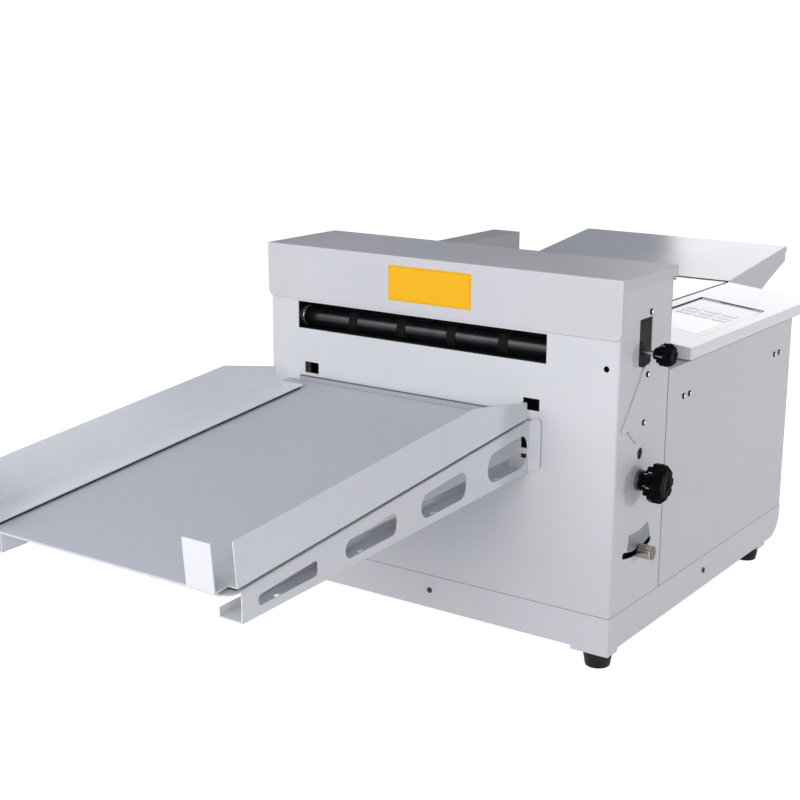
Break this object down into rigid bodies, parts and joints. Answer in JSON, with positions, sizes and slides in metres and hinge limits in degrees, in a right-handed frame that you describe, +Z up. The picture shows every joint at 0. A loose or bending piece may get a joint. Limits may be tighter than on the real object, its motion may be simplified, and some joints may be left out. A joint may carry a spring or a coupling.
{
  "type": "desktop paper creasing machine",
  "caption": "Desktop creasing machine: paper is fed from a rear table through a creasing head with a pull-out tool and leaves onto a sloping front tray with side guides.",
  "frame": {"origin": "on the supporting surface, under the centre of the machine's overall outline", "axes": "+X to the right seen from the delivery side, +Y from the delivery tray towards the infeed table, +Z up"},
  "size_m": [0.556, 1.3516, 0.4563],
  "materials": {
    "casing_grey": "light grey powder coat",
    "base_grey": "light grey powder coat",
    "tray_grey": "grey powder coat, fine texture",
    "guide_grey": "light grey powder coat",
    "feet_rubber": "black moulded rubber",
    "zinc_steel": "zinc plated",
    "frame_steel": "ground steel",
    "roller_steel": "blackened steel",
    "tyre_rubber": "ground grey rubber",
    "pinch_grey": "grey plastic on a steel shaft",
    "belt_black": "black timing belt",
    "motor_black": "black",
    "pulley_alu": "turned",
    "tool_steel": "ground tool steel",
    "beam_alu": "milled",
    "nylon_white": "white nylon",
    "knob_black": "black moulded",
    "knob_nickel": "nickel plated, turned",
    "scale_blue": "grey blue anodised plate with graduations",
    "door_grey": "light grey powder coat",
    "label_amber": "amber film, blank",
    "panel_dark": "grey membrane panel",
    "screen_black": "dark display window",
    "magnet_black": "black magnetic strip",
    "socket_black": "black moulded",
    "board_green": "circuit board"
  },
  "bodies": {
    "casing": {"base_pan": "base_grey", "rubber_feet": "feet_rubber", "machine_screws": "zinc_steel", "head_shell": "casing_grey", "head_back": "casing_grey", "rear_shell": "casing_grey", "rear_deck": "casing_grey", "cover_hinges": "zinc_steel", "side_frame_left": "frame_steel", "side_frame_right": "frame_steel", "tie_rods": "frame_steel", "shaft_bearings": "zinc_steel", "transport_belt": "belt_black", "transport_motor": "motor_black", "die_bed": "frame_steel", "ram_guides": "nylon_white", "drive_belt": "belt_black", "crease_motor": "motor_black", "depth_scale": "scale_blue", "table_top": "tray_grey", "control_panel": "panel_dark", "touch_screen": "screen_black", "separator_pads": "tyre_rubber", "infeed_tray": "tray_grey", "infeed_brackets": "casing_grey", "delivery_tray": "tray_grey", "rail_left": "guide_grey", "rail_right": "guide_grey", "power_inlet": "socket_black", "control_board": "board_green"},
    "cover": {"head_cover": "casing_grey", "label_plate": "label_amber"},
    "exit_drive_roller": {"exit_roller": "roller_steel", "exit_tyres": "tyre_rubber"},
    "exit_pinch": {"exit_pinch_roller": "pinch_grey"},
    "infeed_drive_roller": {"infeed_roller": "roller_steel", "infeed_tyres": "tyre_rubber"},
    "infeed_pinch": {"infeed_pinch_roller": "pinch_grey"},
    "feeder": {"feed_wheels": "tyre_rubber", "feed_shaft": "frame_steel"},
    "transport_rotor": {"transport_motor_pulley": "pulley_alu"},
    "ram": {"blade_beam": "beam_alu", "creasing_blade": "tool_steel", "ram_yokes": "frame_steel"},
    "crank": {"main_shaft": "frame_steel", "hand_wheel": "knob_black"},
    "crease_rotor": {"crease_motor_pulley": "pulley_alu"},
    "tool": {"creasing_die": "tool_steel", "tool_rod": "tool_steel"},
    "tool_handle": {"tool_knob": "knob_black"},
    "lever": {"depth_lever": "zinc_steel", "depth_knob": "knob_nickel"},
    "door": {"slot_door": "door_grey"},
    "infeed_left": {"infeed_guide_left": "guide_grey"},
    "infeed_right": {"infeed_guide_right": "guide_grey"},
    "delivery_left": {"delivery_guide_left": "guide_grey", "guide_strip_left": "magnet_black"},
    "delivery_right": {"delivery_guide_right": "guide_grey", "guide_strip_right": "magnet_black"},
    "rocker": {"power_rocker": "socket_black"}
  },
  "joints": [
    {"name": "cover_hinge", "type": "hinge", "parent": "casing", "child": "cover", "pos_m": [-0.003, -0.00979, 0.4493], "axis": [-1, 0, 0], "range_deg": [0, 105]},
    {"name": "exit_roller_turn", "type": "hinge", "parent": "casing", "child": "exit_drive_roller", "pos_m": [-0.0255, -0.1123, 0.3625], "axis": [1, 0, 0], "continuous": true},
    {"name": "exit_pinch_turn", "type": "hinge", "parent": "casing", "child": "exit_pinch", "pos_m": [-0.0255, -0.1123, 0.3853], "axis": [1, 0, 0], "continuous": true},
    {"name": "infeed_roller_turn", "type": "hinge", "parent": "casing", "child": "infeed_drive_roller", "pos_m": [-0.0255, -0.04029, 0.3625], "axis": [1, 0, 0], "continuous": true},
    {"name": "infeed_pinch_turn", "type": "hinge", "parent": "casing", "child": "infeed_pinch", "pos_m": [-0.0255, -0.04029, 0.3853], "axis": [1, 0, 0], "continuous": true},
    {"name": "feed_wheel_turn", "type": "hinge", "parent": "casing", "child": "feeder", "pos_m": [-0.0255, 0.0147, 0.39448], "axis": [1, 0, 0], "continuous": true},
    {"name": "transport_motor_turn", "type": "hinge", "parent": "casing", "child": "transport_rotor", "pos_m": [-0.243, -0.0378, 0.24], "axis": [1, 0, 0], "continuous": true},
    {"name": "ram_slide", "type": "slide", "parent": "casing", "child": "ram", "axis": [0, 0, 1], "range_m": [-0.004, 0]},
    {"name": "crank_turn", "type": "hinge", "parent": "casing", "child": "crank", "pos_m": [0.247, -0.08229, 0.2175], "axis": [1, 0, 0], "continuous": true},
    {"name": "crease_motor_turn", "type": "hinge", "parent": "casing", "child": "crease_rotor", "pos_m": [0.197, -0.08229, 0.12], "axis": [1, 0, 0], "continuous": true},
    {"name": "tool_slide", "type": "slide", "parent": "casing", "child": "tool", "axis": [1, 0, 0], "range_m": [0, 0.38]},
    {"name": "tool_knob_turn", "type": "hinge", "parent": "tool", "child": "tool_handle", "pos_m": [0.255, -0.08229, 0.367], "axis": [1, 0, 0], "continuous": true},
    {"name": "depth_lever_turn", "type": "hinge", "parent": "casing", "child": "lever", "pos_m": [0.231, -0.08229, 0.249], "axis": [1, 0, 0], "range_deg": [-18.3, 13.7]},
    {"name": "slot_door_turn", "type": "hinge", "parent": "casing", "child": "door", "pos_m": [0.242, -0.07599, 0.3407], "axis": [-1, 0, 0], "range_deg": [0, 62]},
    {"name": "infeed_guide_left_slide", "type": "slide", "parent": "casing", "child": "infeed_left", "axis": [1, 0, 0], "range_m": [0, 0.11]},
    {"name": "infeed_guide_right_slide", "type": "slide", "parent": "casing", "child": "infeed_right", "axis": [-1, 0, 0], "range_m": [0, 0.11]},
    {"name": "delivery_guide_left_slide", "type": "slide", "parent": "casing", "child": "delivery_left", "axis": [1, 0, 0], "range_m": [0, 0.1]},
    {"name": "delivery_guide_right_slide", "type": "slide", "parent": "casing", "child": "delivery_right", "axis": [-1, 0, 0], "range_m": [0, 0.1]},
    {"name": "power_rocker_tip", "type": "hinge", "parent": "casing", "child": "rocker", "pos_m": [-0.1565, 0.37771, 0.12], "axis": [1, 0, 0], "range_deg": [-16, 0]}
  ],
  "couplings": [
    {"joint": "exit_pinch_turn", "follows": "exit_roller_turn", "ratio": -1.5},
    {"joint": "infeed_roller_turn", "follows": "exit_roller_turn", "ratio": 1},
    {"joint": "infeed_pinch_turn", "follows": "exit_roller_turn", "ratio": -1.5},
    {"joint": "feed_wheel_turn", "follows": "exit_roller_turn", "ratio": -0.54},
    {"joint": "transport_motor_turn", "follows": "exit_roller_turn", "ratio": 1.3571},
    {"joint": "crease_motor_turn", "follows": "crank_turn", "ratio": 2}
  ]
}
